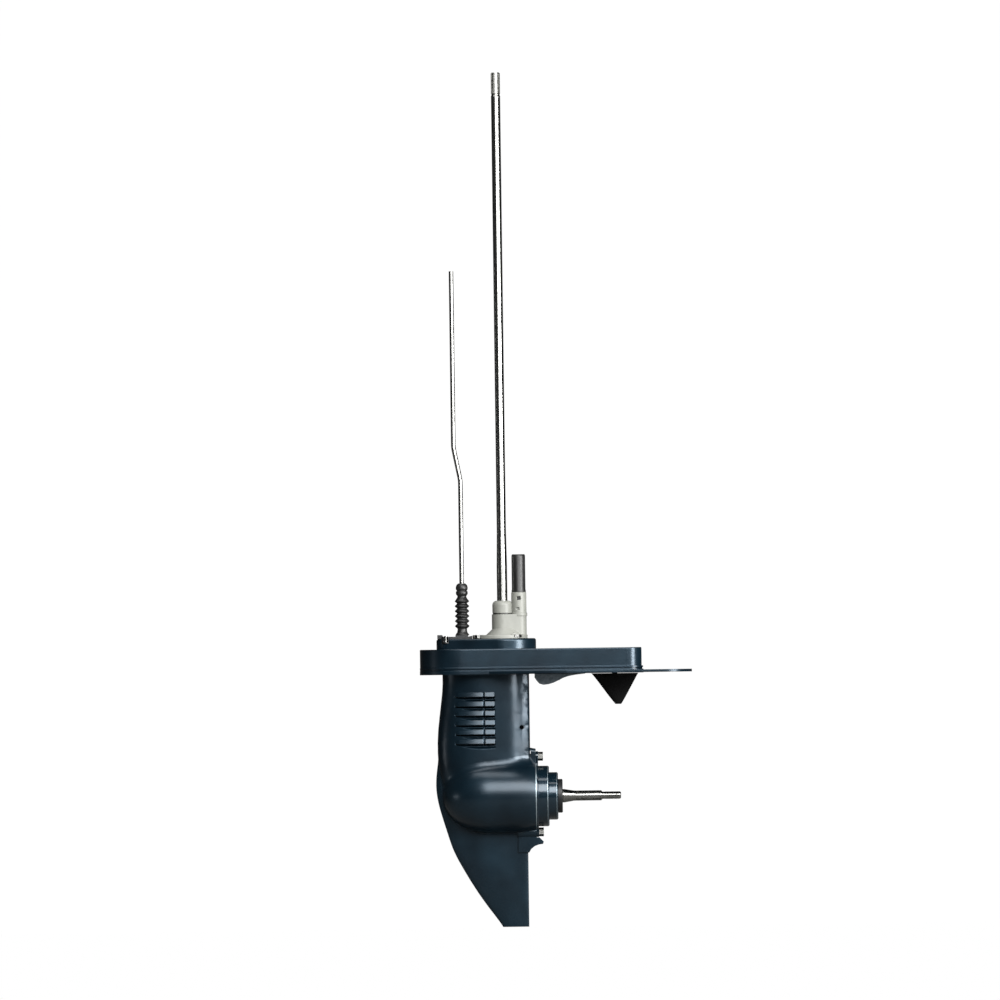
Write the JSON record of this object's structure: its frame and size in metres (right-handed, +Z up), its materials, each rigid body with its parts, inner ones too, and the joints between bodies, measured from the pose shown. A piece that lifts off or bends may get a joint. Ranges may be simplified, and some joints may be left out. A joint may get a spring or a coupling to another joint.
{
  "type": "outboard lower unit",
  "caption": "Lower unit of a small outboard motor: gearcase with skeg, bevel gears, dog clutch, water pump, drive shaft and shift rod.",
  "frame": {"origin": "on the drive shaft's axis, in the rim's flat mating face, at the centre of the four bolt holes", "axes": "+Z up along the drive shaft, +X aft along the propeller shaft, -Y to port"},
  "size_m": [0.2993, 0.144, 0.94],
  "materials": {
    "cast_paint": "metallic slate blue paint on an aluminium casting",
    "zinc": "cast sacrificial alloy, painted over",
    "stainless": "bright turned stainless steel",
    "gear_steel": "ground and hardened steel",
    "bronze": "bearing bronze",
    "rubber": "black moulded rubber",
    "gasket": "fibre gasket",
    "pump_plastic": "light warm grey glass-filled plastic",
    "black_plastic": "black moulded plastic",
    "tab_paint": "black paint on cast alloy"
  },
  "bodies": {
    "gearcase": {"gearcase_casting": "cast_paint", "sacrificial_anode": "zinc", "anode_screw": "stainless", "bearing_carrier": "cast_paint", "carrier_o_ring": "rubber", "carrier_bolts": "stainless", "propshaft_needle_bearing": "gear_steel", "propshaft_seals": "rubber", "reverse_bearing_outer_race": "gear_steel", "forward_bearing_cup": "gear_steel", "pinion_bearing_cup": "gear_steel", "drive_shaft_bush": "bronze", "drive_shaft_seals": "rubber", "pump_gasket": "gasket", "pump_wear_plate": "stainless", "impeller_cup": "stainless", "pump_housing": "pump_plastic", "pump_housing_bolts": "stainless", "water_tube_seal": "rubber", "shift_rod_retainer": "black_plastic", "retainer_bolt": "stainless", "shift_rod_o_ring": "rubber", "shift_rod_boot": "rubber", "drain_gasket": "gasket", "oil_drain_plug": "stainless", "level_gasket": "gasket", "oil_level_plug": "stainless"},
    "drive_shaft": {"drive_shaft": "stainless", "pinion_gear": "gear_steel", "pinion_nut": "gear_steel", "pinion_thrust_washer": "gear_steel", "impeller": "rubber", "impeller_key": "gear_steel"},
    "pinion_rollers": {"pinion_bearing_rollers": "gear_steel"},
    "forward_gear": {"forward_gear": "gear_steel", "forward_bearing_cone": "gear_steel", "forward_gear_bush": "bronze"},
    "forward_rollers": {"forward_bearing_rollers": "gear_steel"},
    "reverse_gear": {"reverse_gear": "gear_steel", "reverse_bearing_inner_race": "gear_steel", "reverse_gear_bush": "bronze"},
    "reverse_balls": {"reverse_bearing_balls": "gear_steel"},
    "prop_shaft": {"propeller_shaft": "stainless"},
    "clutch": {"dog_clutch": "gear_steel", "clutch_cross_pin": "gear_steel", "cross_pin_ring": "stainless", "shift_plunger": "gear_steel", "clutch_spring": "gear_steel"},
    "shift_rod": {"shift_rod": "stainless", "shift_cam": "gear_steel"},
    "trim_tab": {"trim_tab": "tab_paint", "trim_tab_bolt": "stainless"}
  },
  "joints": [
    {"name": "drive_shaft_spin", "type": "hinge", "parent": "gearcase", "child": "drive_shaft", "pos_m": [0, 0, 0], "axis": [0, 0, 1], "continuous": true},
    {"name": "pinion_rollers_orbit", "type": "hinge", "parent": "gearcase", "child": "pinion_rollers", "pos_m": [0, 0, 0], "axis": [0, 0, 1], "continuous": true},
    {"name": "forward_gear_spin", "type": "hinge", "parent": "gearcase", "child": "forward_gear", "pos_m": [0, 0, -0.1625], "axis": [1, 0, 0], "continuous": true},
    {"name": "forward_rollers_orbit", "type": "hinge", "parent": "gearcase", "child": "forward_rollers", "pos_m": [0, 0, -0.1625], "axis": [1, 0, 0], "continuous": true},
    {"name": "reverse_gear_spin", "type": "hinge", "parent": "gearcase", "child": "reverse_gear", "pos_m": [0, 0, -0.1625], "axis": [1, 0, 0], "continuous": true},
    {"name": "reverse_balls_orbit", "type": "hinge", "parent": "gearcase", "child": "reverse_balls", "pos_m": [0, 0, -0.1625], "axis": [1, 0, 0], "continuous": true},
    {"name": "prop_shaft_spin", "type": "hinge", "parent": "gearcase", "child": "prop_shaft", "pos_m": [0, 0, -0.1625], "axis": [1, 0, 0], "continuous": true},
    {"name": "shift_rod_slide", "type": "slide", "parent": "gearcase", "child": "shift_rod", "axis": [0, 0, 1], "range_m": [-0.007, 0.007], "deforming": ["shift_rod_boot"]},
    {"name": "clutch_slide", "type": "slide", "parent": "prop_shaft", "child": "clutch", "axis": [1, 0, 0], "range_m": [-0.00245, 0.00245], "deforming": ["clutch_spring"]},
    {"name": "trim_tab_swivel", "type": "hinge", "parent": "gearcase", "child": "trim_tab", "pos_m": [0.1225, 0, 0], "axis": [0, 0, 1], "range_deg": [-20, 20]}
  ],
  "couplings": [
    {"joint": "forward_gear_spin", "follows": "drive_shaft_spin", "ratio": 0.48148},
    {"joint": "reverse_gear_spin", "follows": "drive_shaft_spin", "ratio": -0.48148},
    {"joint": "pinion_rollers_orbit", "follows": "drive_shaft_spin", "ratio": 0.3943},
    {"joint": "forward_rollers_orbit", "follows": "drive_shaft_spin", "ratio": 0.21041},
    {"joint": "reverse_balls_orbit", "follows": "drive_shaft_spin", "ratio": -0.20497},
    {"joint": "clutch_slide", "follows": "shift_rod_slide", "ratio": 0.35}
  ]
}
